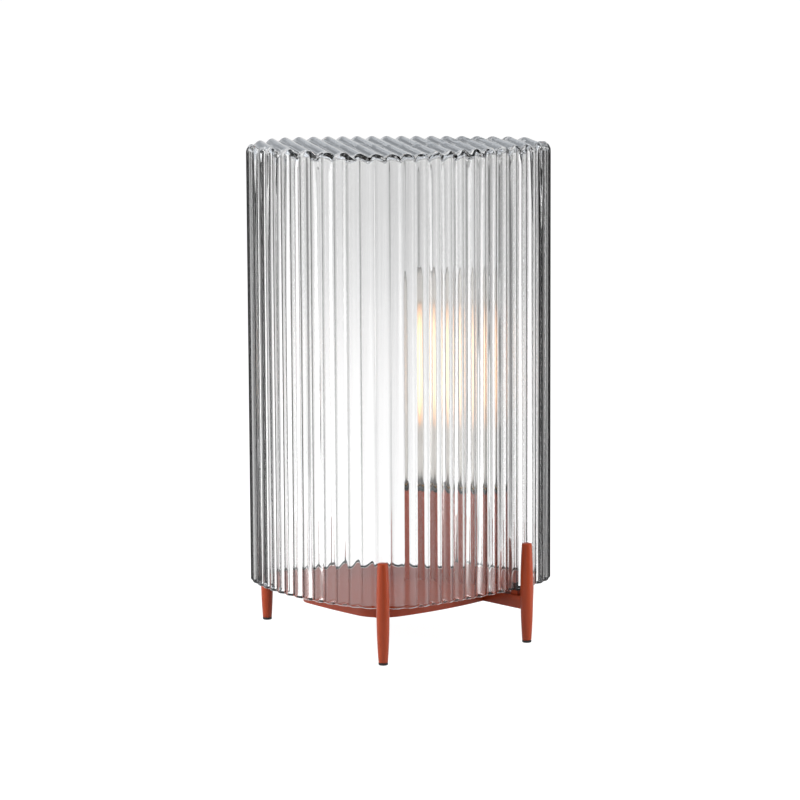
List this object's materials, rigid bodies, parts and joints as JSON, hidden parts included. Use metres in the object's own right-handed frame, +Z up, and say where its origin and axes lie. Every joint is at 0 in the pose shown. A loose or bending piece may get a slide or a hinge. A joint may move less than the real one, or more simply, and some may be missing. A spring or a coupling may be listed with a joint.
{
  "type": "column table lamp",
  "caption": "Table lamp with a tall ribbed glass shade, a rounded triangle in plan, over a lampholder on a low base with turned legs.",
  "frame": {"origin": "on the table, under the middle of the whole lamp's bounding box", "axes": "+Z up along the column, -Y towards the front leg, +X to the right seen from the front"},
  "size_m": [0.2078, 0.1662, 0.34],
  "materials": {
    "ribbed_glass": "clear ribbed glass, polished",
    "bulb_glass": "clear thin glass",
    "rust_paint": "fine-textured satin powder coat",
    "black_plastic": "matt moulding",
    "black_rubber": "soft rubber",
    "white_plastic": "moulded insulating plastic",
    "brass": "rolled brass",
    "steel": "zinc plated",
    "nickel": "bright wire",
    "filament": "glowing phosphor strip"
  },
  "bodies": {
    "base": {"tray": "rust_paint", "hub_housing": "rust_paint", "cover_plate": "rust_paint", "cover_screws": "steel", "leg_front": "rust_paint", "leg_right": "rust_paint", "leg_rear": "rust_paint", "leg_left": "rust_paint", "arm_front": "rust_paint", "arm_right": "rust_paint", "arm_rear": "rust_paint", "arm_left": "rust_paint", "leg_studs": "steel", "foot_glides": "black_rubber", "shade_pads": "black_rubber", "holder_sleeve": "rust_paint", "holder_collar": "black_plastic", "lampholder_body": "black_plastic", "contact_shell": "brass", "centre_contact": "brass", "nipple_tube": "steel", "nipple_nut": "steel", "lower_washer": "steel", "upper_washer": "steel", "cord_bushing": "black_rubber", "terminal_block": "white_plastic", "terminal_screws": "brass", "live_wire": "black_plastic", "neutral_wire": "black_plastic"},
    "shade": {"glass_shade": "ribbed_glass"},
    "bulb_contact": {"bulb_tip": "steel"},
    "bulb": {"bulb_cap": "brass", "bulb_insulator": "black_plastic", "bulb_envelope": "bulb_glass", "bulb_stem": "bulb_glass", "filaments": "filament", "support_wires": "nickel"}
  },
  "joints": [
    {"name": "shade_lift", "type": "slide", "parent": "base", "child": "shade", "axis": [0, 0, 1], "range_m": [0, 0.225]},
    {"name": "bulb_rise", "type": "slide", "parent": "base", "child": "bulb_contact", "axis": [0, 0, 1], "range_m": [0, 0.0222]},
    {"name": "bulb_turn", "type": "hinge", "parent": "bulb_contact", "child": "bulb", "pos_m": [0.04409, 0.03088, 0.1], "axis": [0, 0, 1], "range_deg": [0, 2160]}
  ],
  "couplings": [
    {"joint": "bulb_rise", "follows": "bulb_turn", "m_per_rad": 0.00057757}
  ]
}
